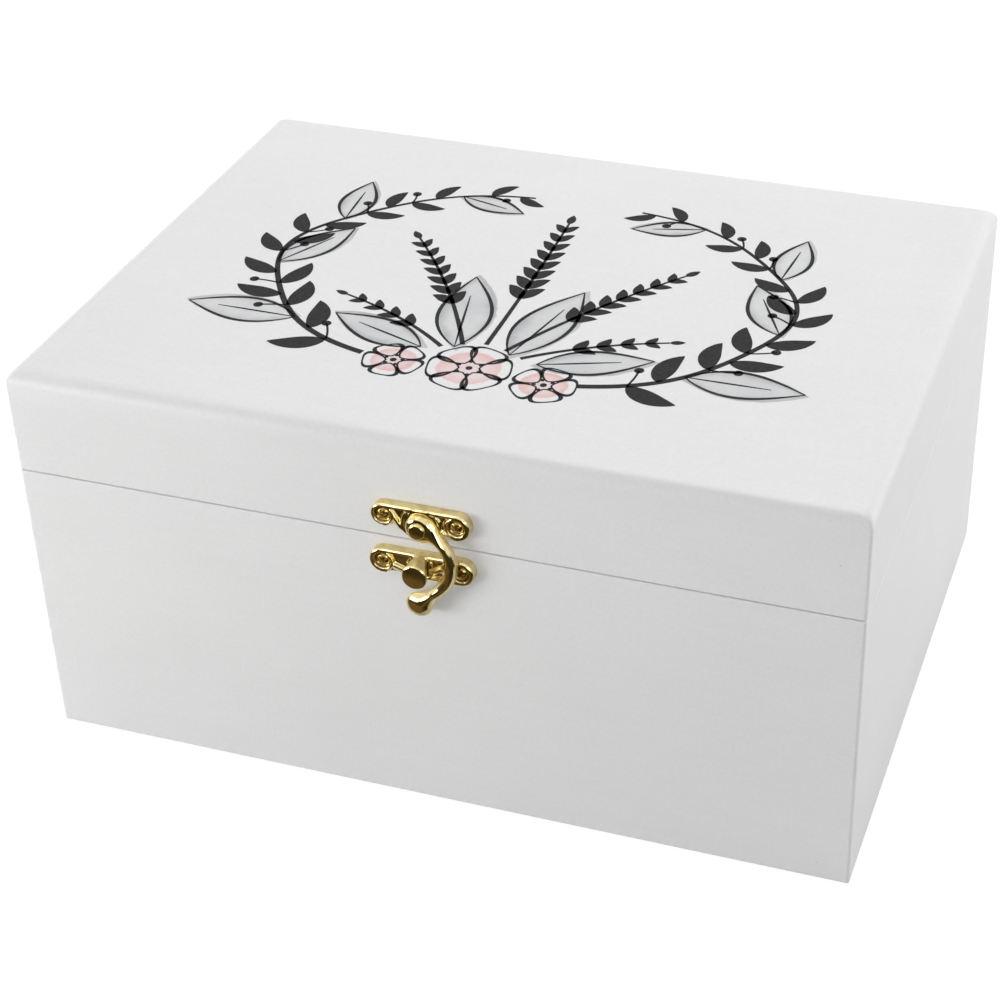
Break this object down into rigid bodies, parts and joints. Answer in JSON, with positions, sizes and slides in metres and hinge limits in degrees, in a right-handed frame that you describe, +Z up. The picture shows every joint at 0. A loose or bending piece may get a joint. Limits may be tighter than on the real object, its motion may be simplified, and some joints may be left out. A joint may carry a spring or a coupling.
{
  "type": "keepsake box",
  "caption": "Low white wooden box for papers and keepsakes, with a deep lid on butt hinges and a cast brass swing clasp on the front.",
  "frame": {"origin": "middle of the underside, on the surface that the box stands on", "axes": "+X to the right as seen from the clasp side, +Y to the hinges at the back, +Z up"},
  "size_m": [0.27, 0.2106, 0.135],
  "materials": {
    "painted_wood": "white satin paint over smooth wood, faintly brushed",
    "hinge_brass": "plain drawn brass, satin",
    "cast_brass": "polished cast brass"
  },
  "bodies": {
    "base": {"base_front": "painted_wood", "base_back": "painted_wood", "base_left": "painted_wood", "base_right": "painted_wood", "base_floor": "painted_wood", "left_hinge_base_leaf": "hinge_brass", "left_hinge_pin": "hinge_brass", "right_hinge_base_leaf": "hinge_brass", "right_hinge_pin": "hinge_brass", "hinge_base_screws": "hinge_brass", "clasp_catch_plate": "cast_brass", "clasp_catch_screws": "cast_brass"},
    "lid": {"lid_top": "painted_wood", "lid_front": "painted_wood", "lid_back": "painted_wood", "lid_left": "painted_wood", "lid_right": "painted_wood", "left_hinge_lid_leaf": "hinge_brass", "right_hinge_lid_leaf": "hinge_brass", "hinge_lid_screws": "hinge_brass", "clasp_lid_plate": "cast_brass", "clasp_rivet": "cast_brass", "clasp_lid_screws": "cast_brass"},
    "hook": {"clasp_hook": "cast_brass"}
  },
  "joints": [
    {"name": "lid_hinge", "type": "hinge", "parent": "base", "child": "lid", "pos_m": [0, 0.09956, 0.09965], "axis": [-1, 0, 0], "range_deg": [0, 100]},
    {"name": "hook_pivot", "type": "hinge", "parent": "lid", "child": "hook", "pos_m": [0.0014, -0.105, 0.10765], "axis": [0, -1, 0], "range_deg": [0, 280]}
  ]
}
